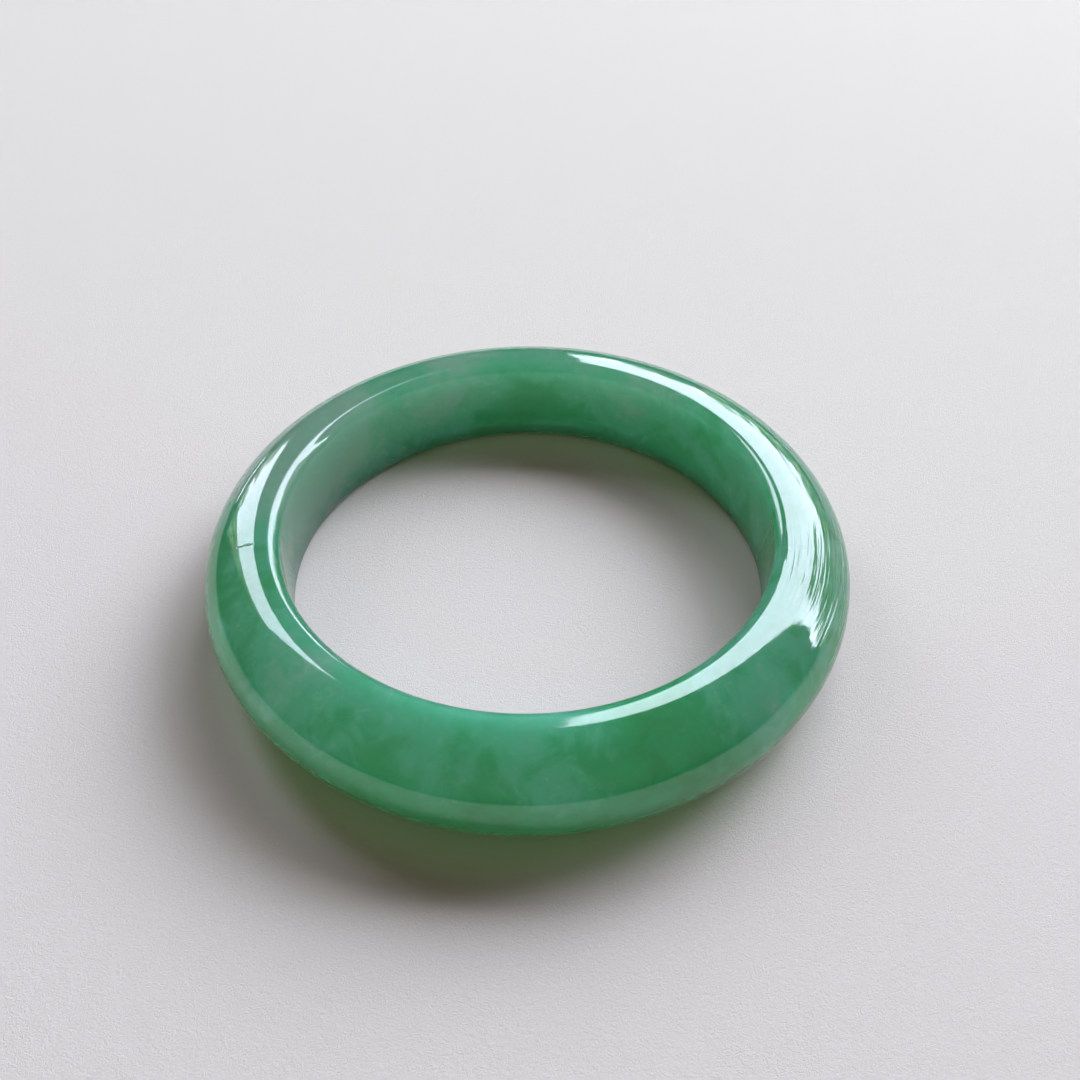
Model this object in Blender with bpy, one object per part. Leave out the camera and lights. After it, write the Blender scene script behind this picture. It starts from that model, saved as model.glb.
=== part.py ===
"""Jade bangle bracelet: one unbroken ring, carved and polished from a single piece of stone.

The ring lies flat on one of its two side faces. Its section is a D: a straight wall towards
the wrist, a rounded edge above and below it, a narrow flat land on each side face, and a
half-elliptical dome outside. Both halves of the section are the same, so the ring can be
turned over. The origin is the centre of the lower side face, and +Z is the ring's own axis.
"""

import math

import bmesh
import bpy

MM = 0.001

# Driving dimensions of the stone
INNER_DIAMETER = 56.0 * MM  # clear opening for the hand, and the size a bangle is sold by
WALL_THICKNESS = 9.1 * MM  # from the inner wall out to the crown of the dome
BAND_WIDTH = 12.2 * MM  # between the two side faces, along the ring's axis
EDGE_RADIUS = 1.4 * MM  # rounding where the inner wall meets a side face
LAND_WIDTH = 0.8 * MM  # flat strip on each side face, which the bangle rests on

# How finely the round surfaces are faceted
TURN_STEPS = 96
EDGE_STEPS = 4
DOME_STEPS = 18
SHARP_ANGLE = math.radians(60)

# Polished stone
JADE_GREEN = (0.065, 0.30, 0.155, 1.0)
POLISHED_ROUGHNESS = 0.12


def clear_scene():
    """Removes whatever objects the scene starts with."""
    for existing in list(bpy.data.objects):
        bpy.data.objects.remove(existing)


def arc(centre, radii, first_angle, last_angle, steps):
    """Points (radius, height) on an elliptical arc, with both of its ends."""
    points = []
    for step in range(steps + 1):
        angle = first_angle + (last_angle - first_angle) * step / steps
        points.append(
            (
                centre[0] + radii[0] * math.cos(angle),
                centre[1] + radii[1] * math.sin(angle),
            )
        )
    return points


def section_outline():
    """The D section as one closed run of (radius, height), anticlockwise from the lower land."""
    inner_radius = INNER_DIAMETER / 2
    edge_centre_radius = inner_radius + EDGE_RADIUS
    dome_centre_radius = edge_centre_radius + LAND_WIDTH
    dome_depth = WALL_THICKNESS - EDGE_RADIUS - LAND_WIDTH
    edge = (EDGE_RADIUS, EDGE_RADIUS)

    dome = arc(
        (dome_centre_radius, BAND_WIDTH / 2),
        (dome_depth, BAND_WIDTH / 2),
        -math.pi / 2,
        math.pi / 2,
        DOME_STEPS,
    )
    upper_edge = arc(
        (edge_centre_radius, BAND_WIDTH - EDGE_RADIUS),
        edge,
        math.pi / 2,
        math.pi,
        EDGE_STEPS,
    )
    lower_edge = arc(
        (edge_centre_radius, EDGE_RADIUS),
        edge,
        math.pi,
        math.pi * 3 / 2,
        EDGE_STEPS,
    )
    # The straight runs between the arcs are the two lands and the inner wall.
    return dome + upper_edge + lower_edge


def turned_ring_mesh(name, outline):
    """Spins the closed outline once round the Z axis."""
    ring = bmesh.new()
    corners = [ring.verts.new((radius, 0.0, height)) for radius, height in outline]
    edges = [
        ring.edges.new((corner, corners[(index + 1) % len(corners)]))
        for index, corner in enumerate(corners)
    ]
    bmesh.ops.spin(
        ring,
        geom=corners + edges,
        cent=(0.0, 0.0, 0.0),
        axis=(0.0, 0.0, 1.0),
        angle=math.tau,
        steps=TURN_STEPS,
        use_merge=True,
    )
    bmesh.ops.recalc_face_normals(ring, faces=ring.faces)
    mesh = bpy.data.meshes.new(name)
    ring.to_mesh(mesh)
    ring.free()
    return mesh


def polished_jade():
    """A plain Principled material for the polished stone."""
    material = bpy.data.materials.new("polished_jade")
    material.use_nodes = True
    shader = material.node_tree.nodes["Principled BSDF"]
    shader.inputs["Base Color"].default_value = JADE_GREEN
    shader.inputs["Roughness"].default_value = POLISHED_ROUGHNESS
    shader.inputs["Metallic"].default_value = 0.0
    return material


def add_jade_ring():
    """The whole bangle: a single solid ring of stone."""
    mesh = turned_ring_mesh("jade_ring", section_outline())
    mesh.materials.append(polished_jade())
    mesh.shade_smooth()
    mesh.set_sharp_from_angle(angle=SHARP_ANGLE)
    ring = bpy.data.objects.new("jade_ring", mesh)
    bpy.context.scene.collection.objects.link(ring)
    return ring


clear_scene()
add_jade_ring()
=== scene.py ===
"""Looks of the jade bangle: the polished stone, the paper it lies on, window light and camera.

The stone is a fine mesh of the same section as the CAD ring, and it replaces that node. All
lengths are in metres, in the frame of the CAD model: the ring's axis is Z, and it rests on z = 0.
An azimuth is an angle round that axis, from +X towards +Y, and +Y points away from the camera.
"""

import math

import bpy
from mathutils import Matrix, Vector, noise


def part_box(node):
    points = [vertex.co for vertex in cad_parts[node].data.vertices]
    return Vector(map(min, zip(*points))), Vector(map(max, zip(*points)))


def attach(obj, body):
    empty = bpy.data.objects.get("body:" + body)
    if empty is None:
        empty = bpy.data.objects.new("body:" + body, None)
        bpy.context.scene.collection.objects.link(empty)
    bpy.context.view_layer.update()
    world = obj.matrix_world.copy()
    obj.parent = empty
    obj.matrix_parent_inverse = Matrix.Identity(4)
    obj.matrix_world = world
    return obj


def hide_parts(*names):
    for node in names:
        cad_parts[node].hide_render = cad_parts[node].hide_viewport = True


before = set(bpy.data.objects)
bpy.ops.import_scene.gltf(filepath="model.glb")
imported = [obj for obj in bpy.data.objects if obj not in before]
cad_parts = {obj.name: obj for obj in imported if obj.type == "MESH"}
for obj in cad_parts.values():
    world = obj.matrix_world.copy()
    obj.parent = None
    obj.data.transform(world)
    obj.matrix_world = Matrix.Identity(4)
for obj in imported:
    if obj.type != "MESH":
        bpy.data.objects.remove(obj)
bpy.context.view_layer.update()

MM = 0.001

# The ring's section, beyond what the CAD model's box gives
EDGE_RADIUS = 1.4 * MM  # rounding where the inner wall meets a side face
LAND_WIDTH = 0.8 * MM  # flat strip on each side face

# Camera, as fitted to the ring's outline
CAMERA_DISTANCE = 120.9 * MM  # from the centre of the ring's lower side face
CAMERA_ELEVATION = math.radians(46.73)
CAMERA_AIM = Vector((1.44, 0.60, 6.10)) * MM
CAMERA_LENS = 32.8  # mm
SENSOR_WIDTH = 36.0  # mm
CAMERA_CLIP_START = 5 * MM

# The window wall stands beyond the ring, nearly square to the camera's azimuth. All that the
# stone mirrors of it are its openings: two windows, a thin gap low on the left, and a low strip
# of leaves on the right. An opening is given by its edges. The trees outside it are given by how
# far aside they start and stop growing taller, and by their least and greatest height. All of
# these are multiples of the wall's distance.
WALL_DISTANCE = 2.00
WALL_AZIMUTH = math.radians(87.5)
WINDOW_RADIANCE = 9.8
SKY_COLOR = (0.80, 0.88, 1.04)
DARK_LEAVES = (0.02, 0.03, 0.02, 1.0)
LIGHT_LEAVES = (0.17, 0.22, 0.14, 1.0)
TREE_SCALE = 11.0  # how often the foliage changes along the wall
LEAF_SCALE = 1.7 * TREE_SCALE  # how often its light and dark leaves change
TREE_STRETCH = 0.40  # how much less often both change upwards
TREE_RAGGEDNESS = 0.9  # how far the foliage moves the tops of the trees up and down
OPENINGS = (
    # name, left and right edge (positive to the right), sill, top, trees
    ("window_left", -1.28, -0.566, 0.27, 1.66, (1.00, 1.25, 0.42, 2.20)),
    ("window_right", 0.026, 5.4, 0.27, 1.66, (0.85, 1.15, 0.42, 1.15)),
    ("low_gap", -1.00, -0.72, 0.105, 0.135, (1.0, 2.0, -1.0, -1.0)),
    ("low_leaves", 0.30, 1.60, 0.10, 0.26, (1.0, 2.0, 1.0, 1.0)),
)

# Soft lights that no reflection shows. The key light, on the right beyond the ring, only lights
# the paper, where it gives the shadow its side. The fill lights only light the stone, in place of
# the light that wanders through real jade.
KEY_AZIMUTH = math.radians(38.0)
KEY_ELEVATION = math.radians(36.0)
KEY_SIZE = 1.40
KEY_POWER = 52.0  # watts
FILL_LIGHTS = (
    # name, azimuth in degrees, power in watts
    ("fill_front", -90.0, 61.0),
    ("fill_left", 180.0, 47.0),
    ("fill_right", 0.0, 20.0),
)
FILL_ELEVATION = math.radians(25.0)
FILL_COLOR = (0.86, 0.95, 0.86)
FILL_SIZE = 2.40
SOFT_LIGHT_DISTANCE = 2.40

# The room around, which the stone mirrors faintly
ROOM_COLOR = (1.0, 0.85, 0.66, 1.0)
ROOM_STRENGTH = 0.175
LOW_ROOM_SHARE = 0.25  # brightness of the room at the paper's level, as a share of that higher up

PAPER_SIZE = 3.0
PAPER_GAP = 0.02 * MM  # between the stone and the paper, so that the surfaces don't meet


# ---------------------------------------------------------------- shader node helpers

class Nodes:
    """Adds and joins the nodes of one node tree, with a short call for each kind used here."""

    def __init__(self, tree):
        self.tree = tree
        tree.nodes.clear()

    def add(self, kind, inputs=None, **settings):
        """A new node with these settings, and these inputs by number or name."""
        node = self.tree.nodes.new(kind)
        for name, value in settings.items():
            setattr(node, name, value)
        for name, value in (inputs or {}).items():
            self.feed(node.inputs[name], value)
        return node

    def feed(self, socket, value):
        """Links a value that is another node's output, or sets it on the socket itself."""
        if isinstance(value, bpy.types.NodeSocket):
            self.tree.links.new(value, socket)
        else:
            socket.default_value = value

    def math(self, operation, first, second=0.0, third=0.0):
        node = self.add("ShaderNodeMath", {0: first, 1: second, 2: third}, operation=operation)
        return node.outputs[0]

    def total(self, *terms):
        """The sum of two or more numbers."""
        result = terms[0]
        for term in terms[1:]:
            result = self.math("ADD", result, term)
        return result

    def vector(self, operation, first, second):
        node = self.add("ShaderNodeVectorMath", {0: first, 1: second}, operation=operation)
        return node.outputs[0]

    def scaled(self, vector, scale):
        node = self.add("ShaderNodeVectorMath", {0: vector, "Scale": scale}, operation="SCALE")
        return node.outputs[0]

    def distance(self, first, second):
        node = self.add("ShaderNodeVectorMath", {0: first, 1: second}, operation="DISTANCE")
        return node.outputs["Value"]

    def dot(self, first, second):
        node = self.add("ShaderNodeVectorMath", {0: first, 1: second}, operation="DOT_PRODUCT")
        return node.outputs["Value"]

    def noise(self, position, scale, detail, roughness=0.5, distortion=0.0):
        """A noise texture, as its two outputs: a number and a colour."""
        inputs = {
            "Vector": position,
            "Scale": scale,
            "Detail": detail,
            "Roughness": roughness,
            "Distortion": distortion,
        }
        node = self.add("ShaderNodeTexNoise", inputs)
        return node.outputs["Fac"], node.outputs["Color"]

    def place_mm(self):
        """The place on the object, in millimetres."""
        return self.scaled(self.add("ShaderNodeTexCoord").outputs["Object"], 1 / MM)

    def step(self, value, low, high, to_low=0.0, to_high=1.0):
        """A smooth step from to_low to to_high while value goes from low to high."""
        inputs = {0: value, 1: low, 2: high, 3: to_low, 4: to_high}
        node = self.add("ShaderNodeMapRange", inputs, interpolation_type="SMOOTHSTEP")
        return node.outputs[0]

    def mix(self, factor, first, second):
        """The first colour where the factor is 0, the second where it is 1."""
        node = self.add("ShaderNodeMix", data_type="RGBA")
        self.feed(node.inputs[0], factor)
        self.feed(node.inputs[6], first)
        self.feed(node.inputs[7], second)
        return node.outputs[2]

    def bump(self, height, distance, strength=1.0, normal=None):
        """A surface normal tilted by the slopes of a height, over another normal if one is given."""
        inputs = {"Strength": strength, "Distance": distance, "Height": height}
        node = self.add("ShaderNodeBump", inputs)
        if normal is not None:
            self.feed(node.inputs["Normal"], normal)
        return node.outputs[0]


def new_material(name):
    """A material with an empty node tree, and the helper that fills it."""
    material = bpy.data.materials.new(name)
    material.use_nodes = True
    return material, Nodes(material.node_tree)


# ---------------------------------------------------------------- the stone's shape

# How finely the mesh is divided round the axis and along each stretch of the section
TURN_STEPS = 600
WALL_STEPS = 18
EDGE_STEPS = 10
LAND_STEPS = 3
DOME_STEPS = 90

# How far hand polishing leaves the surface off a true turned shape
WAVE_HEIGHT = 0.012 * MM
WAVE_LENGTH = 7.0 * MM
FINE_WAVE_LENGTH = 0.3 * WAVE_LENGTH
FINE_WAVE_SHARE = 0.18  # height of the finer waves, as a share of the broad ones
FINE_WAVE_SHIFT = Vector((11.0, 5.0, 3.0))  # so that the two kinds of wave don't coincide


def ring_dimensions():
    """Inner radius, outer radius and height, measured on the CAD ring."""
    low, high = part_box("jade_ring")
    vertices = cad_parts["jade_ring"].data.vertices
    inner_radius = min(math.hypot(vertex.co.x, vertex.co.y) for vertex in vertices)
    return inner_radius, high.x, high.z


def arc(centre, radii, first_angle, last_angle, steps):
    """Points (radius, height) along an elliptical arc, without its last point."""
    points = []
    for step in range(steps):
        angle = math.radians(first_angle + (last_angle - first_angle) * step / steps)
        radius = centre[0] + radii[0] * math.cos(angle)
        height = centre[1] + radii[1] * math.sin(angle)
        points.append((radius, height))
    return points


def line(start, end, steps):
    """Points (radius, height) along a straight line, without its last point."""
    points = []
    for step in range(steps):
        radius = start[0] + (end[0] - start[0]) * step / steps
        height = start[1] + (end[1] - start[1]) * step / steps
        points.append((radius, height))
    return points


def section_outline():
    """The closed section as (radius, height) points, starting at the foot of the dome."""
    inner_radius, outer_radius, height = ring_dimensions()
    edge_centre = inner_radius + EDGE_RADIUS
    dome_foot = edge_centre + LAND_WIDTH
    middle = height / 2
    dome = arc((dome_foot, middle), (outer_radius - dome_foot, middle), -90, 90, DOME_STEPS)
    upper_land = line((dome_foot, height), (edge_centre, height), LAND_STEPS)
    radii = (EDGE_RADIUS, EDGE_RADIUS)
    upper_edge = arc((edge_centre, height - EDGE_RADIUS), radii, 90, 180, EDGE_STEPS)
    wall = line((inner_radius, height - EDGE_RADIUS), (inner_radius, EDGE_RADIUS), WALL_STEPS)
    lower_edge = arc((edge_centre, EDGE_RADIUS), radii, 180, 270, EDGE_STEPS)
    lower_land = line((edge_centre, 0.0), (dome_foot, 0.0), LAND_STEPS)
    return dome + upper_land + upper_edge + wall + lower_edge + lower_land


def polish_wave(point):
    """Offset along the surface normal that hand polishing leaves at a point."""
    broad = noise.noise(point / WAVE_LENGTH)
    fine = noise.noise(point / FINE_WAVE_LENGTH + FINE_WAVE_SHIFT)
    return WAVE_HEIGHT * (broad + FINE_WAVE_SHARE * fine)


def turned_mesh(name, outline):
    """Turns the outline round Z into a closed quad mesh, then adds the polishing waves.

    The waves fade out on the side faces, which were lapped flat.
    """
    count = len(outline)
    vertices = []
    for turn in range(TURN_STEPS):
        angle = math.tau * turn / TURN_STEPS
        vertices += [Vector((r * math.cos(angle), r * math.sin(angle), z)) for r, z in outline]
    faces = []
    for turn in range(TURN_STEPS):
        start = turn * count
        after = (turn + 1) % TURN_STEPS * count
        for i in range(count):
            j = (i + 1) % count
            faces.append((start + i, after + i, after + j, start + j))
    mesh = bpy.data.meshes.new(name)
    mesh.from_pydata(vertices, [], faces)
    mesh.update()
    normals = [vertex.normal.copy() for vertex in mesh.vertices]
    for vertex, normal in zip(mesh.vertices, normals):
        lapped_flat = abs(normal.z) ** 8
        vertex.co += normal * polish_wave(vertex.co) * (1.0 - lapped_flat)
    mesh.shade_smooth()
    return mesh


# ---------------------------------------------------------------- the stone's material

# The stone's colours, from its deepest green to its milky inclusions
DEEP_GREEN = (0.025, 0.141, 0.055, 1.0)
EMERALD = (0.031, 0.180, 0.084, 1.0)
TEAL = (0.061, 0.216, 0.143, 1.0)
COTTON = (0.138, 0.228, 0.187, 1.0)
WISP = (0.195, 0.285, 0.238, 1.0)
COLOR_STOPS = ((0.12, DEEP_GREEN), (0.38, EMERALD), (0.60, TEAL), (0.90, COTTON))
MEAN_PALENESS = 0.46  # where the stone lies on those stops before anything changes it
SLOW_CHANGE = 0.15  # how far slow changes and cotton each move it, either way
COTTON_CHANGE = 0.12

# How light goes through the stone and off its polish
STONE_IOR = 1.66  # jadeite's
SCATTER_SCALE = 30 * MM
SCATTER_RADIUS = (0.45, 1.0, 0.75)  # for red, green and blue, in multiples of the scale
TRANSMISSION = 0.40  # share of the light that goes straight on instead
LEAST_ROUGHNESS = 0.035
GREATEST_ROUGHNESS = 0.085
RIPPLE_HEIGHT = 0.004 * MM

# Pale and deep patches of the stone, partly its own clouds and partly painted light and shade
# that lighten or darken spots: azimuth (degrees), distance from the axis, height and size (mm),
# and how much paler than its surroundings the middle of the patch is
CLOUD_AND_PAINTED_LIGHT_PATCHES = (
    # the inner wall
    (20, 28, 5, 16, 0.10),
    (60, 28, 10, 13, 0.24),
    (93, 28, 3, 12, -0.02),
    (120, 28, 6, 11, 0.24),
    (160, 28, 9, 18, 0.46),
    # the upper face and the dome
    (88, 33, 11, 10, 0.08),
    (108, 33, 11, 10, 0.24),
    (148, 33, 11, 18, 0.34),
    (193, 36, 8, 10, -0.24),
    (222, 34, 10, 10, 0.08),
    (268, 36, 8, 10, -0.14),
    (291, 34, 9, 14, -0.18),
    (308, 35, 9, 9, 0.20),
    (322, 37, 3, 11, -0.14),
    (330, 36, 8, 6, -0.20),
    (347, 36, 5, 10, -0.08),
)
PATCH_WARP = 5.0  # mm that the patches' outlines wander
PATCH_CORE = 0.1  # full effect up to this share of the patch's size

# Fine lines that polishing left along the ring, strongest in one worn place
LINE_TURNS = 2.5  # how often the lines change along the ring: radius of the noise's circle
LINE_FREQUENCY = 1.6  # how often they change across it, per mm
LINE_HEIGHT = 0.450 * MM
LINE_FAINTNESS = 0.01  # strength of the lines away from the worn place
WORN_PLACE = (36.0, -11.5, 8.5)  # mm
WORN_SIZE = 13.0  # mm from that place to where the lines have faded
WORN_CORE = 0.3 * WORN_SIZE  # mm from that place to where they begin to fade

# A natural hairline that crosses the dome near the camera's left, from the upper face outwards
HAIRLINE_AZIMUTH = math.radians(190.5)
HAIRLINE_START = 30.7  # mm from the axis
HAIRLINE_END = 32.6
HAIRLINE_WIDTH = 0.16  # mm
HAIRLINE_WANDER = 0.7  # mm
HAIRLINE_DEPTH = 0.06 * MM
HAIRLINE_DARKNESS = 0.6


def cloud_and_painted_light_patches(nodes, place_mm):
    """How much the placed patches, the stone's own clouds and painted light and shade, lighten or
    darken the stone at a place.
    """
    _, wander = nodes.noise(place_mm, scale=0.13, detail=3.0, roughness=0.6)
    wander = nodes.vector("SUBTRACT", wander, (0.5, 0.5, 0.5))
    warped = nodes.vector("ADD", place_mm, nodes.scaled(wander, 2 * PATCH_WARP))
    changes = []
    for azimuth, radius, height, size, change in CLOUD_AND_PAINTED_LIGHT_PATCHES:
        angle = math.radians(azimuth)
        centre = (radius * math.cos(angle), radius * math.sin(angle), height)
        distance = nodes.distance(warped, centre)
        changes.append(nodes.step(distance, PATCH_CORE * size, size, change, 0.0))
    return nodes.total(*changes)


def ring_parts(nodes, place_mm):
    """Distance from the axis, height, and cosine and sine of the azimuth, for a place on the ring."""
    x, y, height = nodes.add("ShaderNodeSeparateXYZ", {0: place_mm}).outputs
    level = nodes.add("ShaderNodeCombineXYZ", {0: x, 1: y})
    radius = nodes.distance(level.outputs[0], (0.0, 0.0, 0.0))
    cosine = nodes.math("DIVIDE", x, radius)
    sine = nodes.math("DIVIDE", y, radius)
    return radius, height, cosine, sine


def painted_foot_shade(nodes, radius, height):
    """Painted shade: the stone made deeper green towards its foot, most of all low on the dome, and
    painted light that makes it paler towards its upper face.
    """
    on_dome = nodes.step(radius, 32.0, 36.0)
    # painted shade, deepest low on the dome, then painted shade at the foot that turns to painted
    # light at the upper face
    painted_low_dome_shade = nodes.math("MULTIPLY", on_dome, nodes.step(height, 1.5, 9.5, -0.55, 0.0))
    return nodes.total(painted_low_dome_shade, nodes.step(height, 0.0, 12.0, -0.16, 0.10))


def polishing_lines(nodes, radius, height, cosine, sine):
    """Fine waves that run along the ring, as a height that is the same at both ends of a turn."""
    along_and_up = {
        0: nodes.math("MULTIPLY", cosine, LINE_TURNS),
        1: nodes.math("MULTIPLY", sine, LINE_TURNS),
        2: nodes.math("MULTIPLY", height, LINE_FREQUENCY),
    }
    inputs = {
        "Vector": nodes.add("ShaderNodeCombineXYZ", along_and_up).outputs[0],
        "W": nodes.math("MULTIPLY", radius, LINE_FREQUENCY),
        "Scale": 1.0,
        "Detail": 2.0,
        "Roughness": 0.5,
    }
    lines = nodes.add("ShaderNodeTexNoise", inputs, noise_dimensions="4D")
    return lines.outputs["Fac"]


def hairline(nodes, place_mm, radius):
    """The natural line across the dome: 1 on the line, 0 away from it."""
    outward = (math.cos(HAIRLINE_AZIMUTH), math.sin(HAIRLINE_AZIMUTH), 0.0)
    sideways = (-outward[1], outward[0], 0.0)
    wander, _ = nodes.noise(place_mm, scale=1.2, detail=2.0)
    wander = nodes.math("SUBTRACT", wander, 0.5)
    offset = nodes.math("MULTIPLY_ADD", wander, HAIRLINE_WANDER, nodes.dot(place_mm, sideways))
    across = nodes.step(nodes.math("ABSOLUTE", offset), 0.0, HAIRLINE_WIDTH, 1.0, 0.0)
    starts = nodes.step(radius, HAIRLINE_START - 0.2, HAIRLINE_START + 0.2)
    ends = nodes.step(radius, HAIRLINE_END - 0.4, HAIRLINE_END, 1.0, 0.0)
    same_side = nodes.step(nodes.dot(place_mm, outward), 0.0, 1.0)
    line_part = nodes.math("MULTIPLY", nodes.math("MULTIPLY", starts, ends), same_side)
    return nodes.math("MULTIPLY", across, line_part)


def stone_paleness(nodes, place_mm, radius, height):
    """Where the stone lies between its colours: patches of cloud and of painted light and shade, slow
    changes, cotton, and painted shade towards the foot.
    """
    slow, _ = nodes.noise(place_mm, scale=0.09, detail=3.0, roughness=0.55, distortion=0.5)
    elsewhere = nodes.vector("ADD", place_mm, (-17.0, 23.0, 5.0))
    cotton, _ = nodes.noise(elsewhere, scale=0.26, detail=5.0, roughness=0.58, distortion=0.8)
    return nodes.total(
        cloud_and_painted_light_patches(nodes, place_mm),
        MEAN_PALENESS,
        nodes.step(slow, 0.25, 0.75, -SLOW_CHANGE, SLOW_CHANGE),
        nodes.step(cotton, 0.2, 0.8, -COTTON_CHANGE, COTTON_CHANGE),
        painted_foot_shade(nodes, radius, height),
    )


def stone_color(nodes, place_mm, paleness, crack):
    """The colour for a paleness, with thin pale wisps and the darker hairline."""
    ramp_node = nodes.add("ShaderNodeValToRGB", {0: paleness})
    ramp = ramp_node.color_ramp
    ramp.interpolation = "EASE"
    while len(ramp.elements) < len(COLOR_STOPS):
        ramp.elements.new(0.5)
    for element, (position, color) in zip(ramp.elements, COLOR_STOPS):
        element.position = position
        element.color = color

    # The wisps lie mostly where the stone is pale already.
    elsewhere = nodes.vector("ADD", place_mm, (3.0, -9.0, 41.0))
    wisp, _ = nodes.noise(elsewhere, scale=0.45, detail=5.0, roughness=0.62, distortion=2.2)
    wisp = nodes.step(wisp, 0.54, 0.74)
    wisp = nodes.math("MULTIPLY", wisp, nodes.step(paleness, 0.3, 0.9, 0.05, 0.40))
    color = nodes.mix(wisp, ramp_node.outputs["Color"], WISP)
    return nodes.mix(nodes.math("MULTIPLY", crack, HAIRLINE_DARKNESS), color, DEEP_GREEN)


def jade_material():
    """Milky green jade under a high polish."""
    material, nodes = new_material("polished_jade")
    output = nodes.add("ShaderNodeOutputMaterial")
    place_mm = nodes.place_mm()
    radius, height, cosine, sine = ring_parts(nodes, place_mm)
    paleness = stone_paleness(nodes, place_mm, radius, height)
    crack = hairline(nodes, place_mm, radius)

    # Polish: smudges, a faint ripple, the lines along the ring, and the groove of the hairline
    smudge, _ = nodes.noise(place_mm, scale=0.5, detail=4.0, roughness=0.6)
    roughness = nodes.step(smudge, 0.3, 0.8, LEAST_ROUGHNESS, GREATEST_ROUGHNESS)
    ripple, _ = nodes.noise(place_mm, scale=0.9, detail=3.0, roughness=0.5)
    normal = nodes.bump(ripple, RIPPLE_HEIGHT)
    lines = polishing_lines(nodes, radius, height, cosine, sine)
    from_worn_place = nodes.distance(place_mm, WORN_PLACE)
    worn = nodes.step(from_worn_place, WORN_CORE, WORN_SIZE, 1.0, LINE_FAINTNESS)
    normal = nodes.bump(lines, LINE_HEIGHT, strength=worn, normal=normal)
    normal = nodes.bump(crack, -HAIRLINE_DEPTH, normal=normal)

    shader = nodes.add("ShaderNodeBsdfPrincipled")
    nodes.feed(shader.inputs["Base Color"], stone_color(nodes, place_mm, paleness, crack))
    nodes.feed(shader.inputs["Roughness"], roughness)
    nodes.feed(shader.inputs["Normal"], normal)
    shader.inputs["IOR"].default_value = STONE_IOR
    shader.inputs["Subsurface Weight"].default_value = 1.0
    shader.inputs["Subsurface Radius"].default_value = SCATTER_RADIUS
    shader.inputs["Subsurface Scale"].default_value = SCATTER_SCALE
    shader.inputs["Transmission Weight"].default_value = TRANSMISSION
    nodes.feed(output.inputs["Surface"], shader.outputs[0])
    return material


def add_stone():
    """The visual model of the whole bangle, in the CAD ring's place."""
    mesh = turned_mesh("jade_stone", section_outline())
    mesh.materials.append(jade_material())
    stone = bpy.data.objects.new("jade_stone", mesh)
    bpy.context.scene.collection.objects.link(stone)
    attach(stone, "root")
    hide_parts("jade_ring")
    return stone


# ---------------------------------------------------------------- paper, light and camera

PAPER_COLOR = (0.540, 0.490, 0.450, 1.0)
PAPER_ROUGHNESS = 0.95
PAPER_SPECULAR = 0.1
PULP_HEIGHT = 0.10 * MM
# Painted light: a green glow that the paper emits near the stone's foot
PAINTED_GLOW_COLOR = (0.38, 1.0, 0.26, 1.0)
PAINTED_GLOW_STRENGTH = 0.045
PAINTED_GLOW_TOWARDS = (-0.28, -0.96, 0.0)  # where the shadow falls


def painted_stone_glow(nodes, place_mm):
    """Painted light: a green glow emitted by the paper, in place of light that has come through the
    stone, on the shaded paper close to its foot.

    It fades outwards from the dome's foot, and from the inner wall's foot towards the axis.
    """
    radius = nodes.distance(place_mm, (0.0, 0.0, 0.0))
    side = nodes.math("DIVIDE", nodes.dot(place_mm, PAINTED_GLOW_TOWARDS), radius)
    outside = nodes.step(radius, 35.0, 42.0, 1.0, 0.0)
    outside = nodes.math("MULTIPLY", outside, nodes.step(side, 0.0, 0.9))
    outside = nodes.math("MULTIPLY", outside, nodes.step(radius, 30.0, 32.0))
    inside = nodes.step(radius, 21.0, 28.0)
    inside = nodes.math("MULTIPLY", inside, nodes.step(side, -0.9, 0.1, 0.5, 0.0))
    return nodes.math("MULTIPLY", nodes.total(outside, inside), PAINTED_GLOW_STRENGTH)


def paper_material():
    """Plain matt paper with a pulpy grain, turned so that the noise's own grid doesn't show, and a
    painted green glow near the stone's foot.
    """
    material, nodes = new_material("paper")
    output = nodes.add("ShaderNodeOutputMaterial")
    place_mm = nodes.place_mm()
    turn = {"Vector": place_mm, "Angle": 0.6, "Axis": (0.5, 0.4, 0.8)}
    turned = nodes.add("ShaderNodeVectorRotate", turn)
    pulp, _ = nodes.noise(turned.outputs[0], scale=2.8, detail=5.0, roughness=0.78, distortion=1.2)
    shader = nodes.add("ShaderNodeBsdfPrincipled")
    shader.inputs["Base Color"].default_value = PAPER_COLOR
    shader.inputs["Roughness"].default_value = PAPER_ROUGHNESS
    shader.inputs["Specular IOR Level"].default_value = PAPER_SPECULAR
    nodes.feed(shader.inputs["Normal"], nodes.bump(pulp, PULP_HEIGHT))
    # painted light: the paper glows green near the stone's foot, in place of light through the stone
    shader.inputs["Emission Color"].default_value = PAINTED_GLOW_COLOR
    nodes.feed(shader.inputs["Emission Strength"], painted_stone_glow(nodes, place_mm))
    nodes.feed(output.inputs["Surface"], shader.outputs[0])
    return material


def add_paper():
    """The floor that the ring lies on."""
    half = PAPER_SIZE / 2
    outline = ((-half, -half), (half, -half), (half, half), (-half, half))
    corners = [(x, y, -PAPER_GAP) for x, y in outline]
    mesh = bpy.data.meshes.new("paper_floor")
    mesh.from_pydata(corners, [], [(0, 1, 2, 3)])
    mesh.materials.append(paper_material())
    paper = bpy.data.objects.new("paper_floor", mesh)
    bpy.context.scene.collection.objects.link(paper)
    return paper


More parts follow.
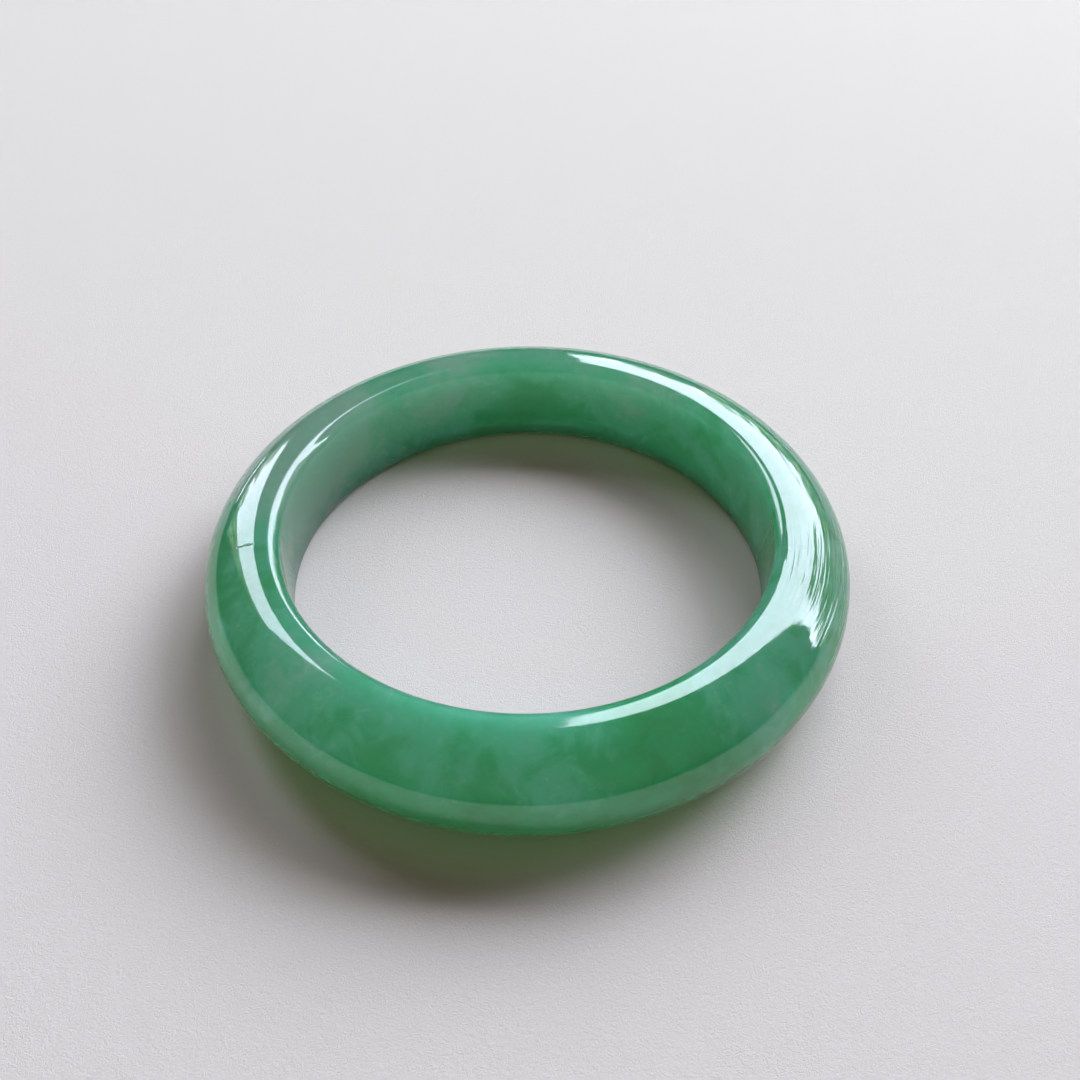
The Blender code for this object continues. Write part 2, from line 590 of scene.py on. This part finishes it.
def garden_view(nodes, left, right, sill, top, trees):
    """What an opening shows, on the light's own plane: bright sky above a ragged line of trees.

    The light's parametric coordinates run from its right end to its left one, and upwards.
    """
    parametric = nodes.add("ShaderNodeNewGeometry").outputs["Parametric"]
    leftwards, upwards, _ = nodes.add("ShaderNodeSeparateXYZ", {0: parametric}).outputs
    along = nodes.math("MULTIPLY_ADD", leftwards, left - right, right)
    height = nodes.math("MULTIPLY_ADD", upwards, top - sill, sill)

    # How deep a place lies below the tops of the trees
    stretched = nodes.math("MULTIPLY", height, TREE_STRETCH)
    place = nodes.add("ShaderNodeCombineXYZ", {0: along, 1: stretched}).outputs[0]
    leaves, _ = nodes.noise(place, scale=TREE_SCALE, detail=5.0, roughness=0.62, distortion=0.4)
    growth_start, growth_end, least_height, greatest_height = trees
    aside = nodes.math("ABSOLUTE", along)
    tree_line = nodes.step(aside, growth_start, growth_end, least_height, greatest_height)
    depth = nodes.math("SUBTRACT", tree_line, height)
    ragged = nodes.math("SUBTRACT", leaves, 0.5)
    depth = nodes.math("MULTIPLY_ADD", ragged, TREE_RAGGEDNESS, depth)
    cover = nodes.step(depth, -0.07, 0.10)

    # The sky is brighter towards the right.
    brightness = nodes.step(along, -2.0, 4.0, 0.75, 1.35)
    sky = nodes.scaled(SKY_COLOR, brightness)
    light_leaves, _ = nodes.noise(place, scale=LEAF_SCALE, detail=3.0, roughness=0.6)
    foliage = nodes.mix(nodes.step(light_leaves, 0.40, 0.70), DARK_LEAVES, LIGHT_LEAVES)
    return nodes.mix(cover, sky, foliage)


def add_opening(name, left, right, sill, top, trees):
    """An opening in the wall, as an area light that shows the garden."""
    outward = Vector((math.cos(WALL_AZIMUTH), math.sin(WALL_AZIMUTH), 0.0))
    along = Vector((outward.y, -outward.x, 0.0))
    width = (right - left) * WALL_DISTANCE
    rise = (top - sill) * WALL_DISTANCE
    light = bpy.data.lights.new(name, "AREA")
    light.shape = "RECTANGLE"
    light.size = width
    light.size_y = rise
    light.energy = WINDOW_RADIANCE * math.pi * width * rise
    light.use_nodes = True
    nodes = Nodes(light.node_tree)
    view = garden_view(nodes, left, right, sill, top, trees)
    emission = nodes.add("ShaderNodeEmission", {"Color": view})
    nodes.add("ShaderNodeOutputLight", {0: emission.outputs[0]})
    window = bpy.data.objects.new(name, light)
    middle = Vector((0.0, 0.0, (top + sill) / 2)) + along * (left + right) / 2
    window.location = (outward + middle) * WALL_DISTANCE
    window.rotation_euler = outward.to_track_quat("Z", "Y").to_euler()
    bpy.context.scene.collection.objects.link(window)


def add_soft_light(name, azimuth, elevation, size, power, color, receiver):
    """A round soft light aimed at the ring, which lights the receiver only."""
    light = bpy.data.lights.new(name, "AREA")
    light.shape = "DISK"
    light.size = size
    light.color = color
    light.energy = power
    lamp = bpy.data.objects.new(name, light)
    level = math.cos(elevation)
    towards = Vector((level * math.cos(azimuth), level * math.sin(azimuth), math.sin(elevation)))
    lamp.location = towards * SOFT_LIGHT_DISTANCE
    lamp.rotation_euler = towards.to_track_quat("Z", "Y").to_euler()
    lamp.visible_glossy = False
    bpy.context.scene.collection.objects.link(lamp)
    receivers = bpy.data.collections.new(name + "_receivers")
    receivers.objects.link(receiver)
    lamp.light_linking.receiver_collection = receivers


def add_soft_lights(stone, paper):
    """The key light for the paper and the fill lights for the stone."""
    add_soft_light(
        "key_light", KEY_AZIMUTH, KEY_ELEVATION, KEY_SIZE, KEY_POWER, SKY_COLOR, paper
    )
    for name, degrees, power in FILL_LIGHTS:
        azimuth = math.radians(degrees)
        add_soft_light(name, azimuth, FILL_ELEVATION, FILL_SIZE, power, FILL_COLOR, stone)


def add_world():
    """The room: warm and dim, and darkest low down."""
    world = bpy.data.worlds.new("room")
    world.use_nodes = True
    nodes = Nodes(world.node_tree)
    direction = nodes.add("ShaderNodeTexCoord").outputs["Generated"]
    upwards = nodes.dot(direction, (0.0, 0.0, 1.0))
    strength = nodes.step(upwards, 0.0, 0.40, ROOM_STRENGTH * LOW_ROOM_SHARE, ROOM_STRENGTH)
    inputs = {"Color": ROOM_COLOR, "Strength": strength}
    background = nodes.add("ShaderNodeBackground", inputs)
    nodes.add("ShaderNodeOutputWorld", {"Surface": background.outputs[0]})
    bpy.context.scene.world = world


def add_camera():
    """The camera, at the photograph's viewing angle."""
    camera = bpy.data.objects.new("camera", bpy.data.cameras.new("camera"))
    camera.data.lens = CAMERA_LENS
    camera.data.sensor_width = SENSOR_WIDTH
    camera.data.clip_start = CAMERA_CLIP_START
    back = CAMERA_DISTANCE * math.cos(CAMERA_ELEVATION)
    camera.location = (0.0, -back, CAMERA_DISTANCE * math.sin(CAMERA_ELEVATION))
    camera.rotation_euler = (CAMERA_AIM - camera.location).to_track_quat("-Z", "Y").to_euler()
    bpy.context.scene.collection.objects.link(camera)
    bpy.context.scene.camera = camera


stone = add_stone()
paper = add_paper()
for opening in OPENINGS:
    add_opening(*opening)
add_soft_lights(stone, paper)
add_world()
add_camera()
bpy.context.scene.view_settings.view_transform = "Standard"
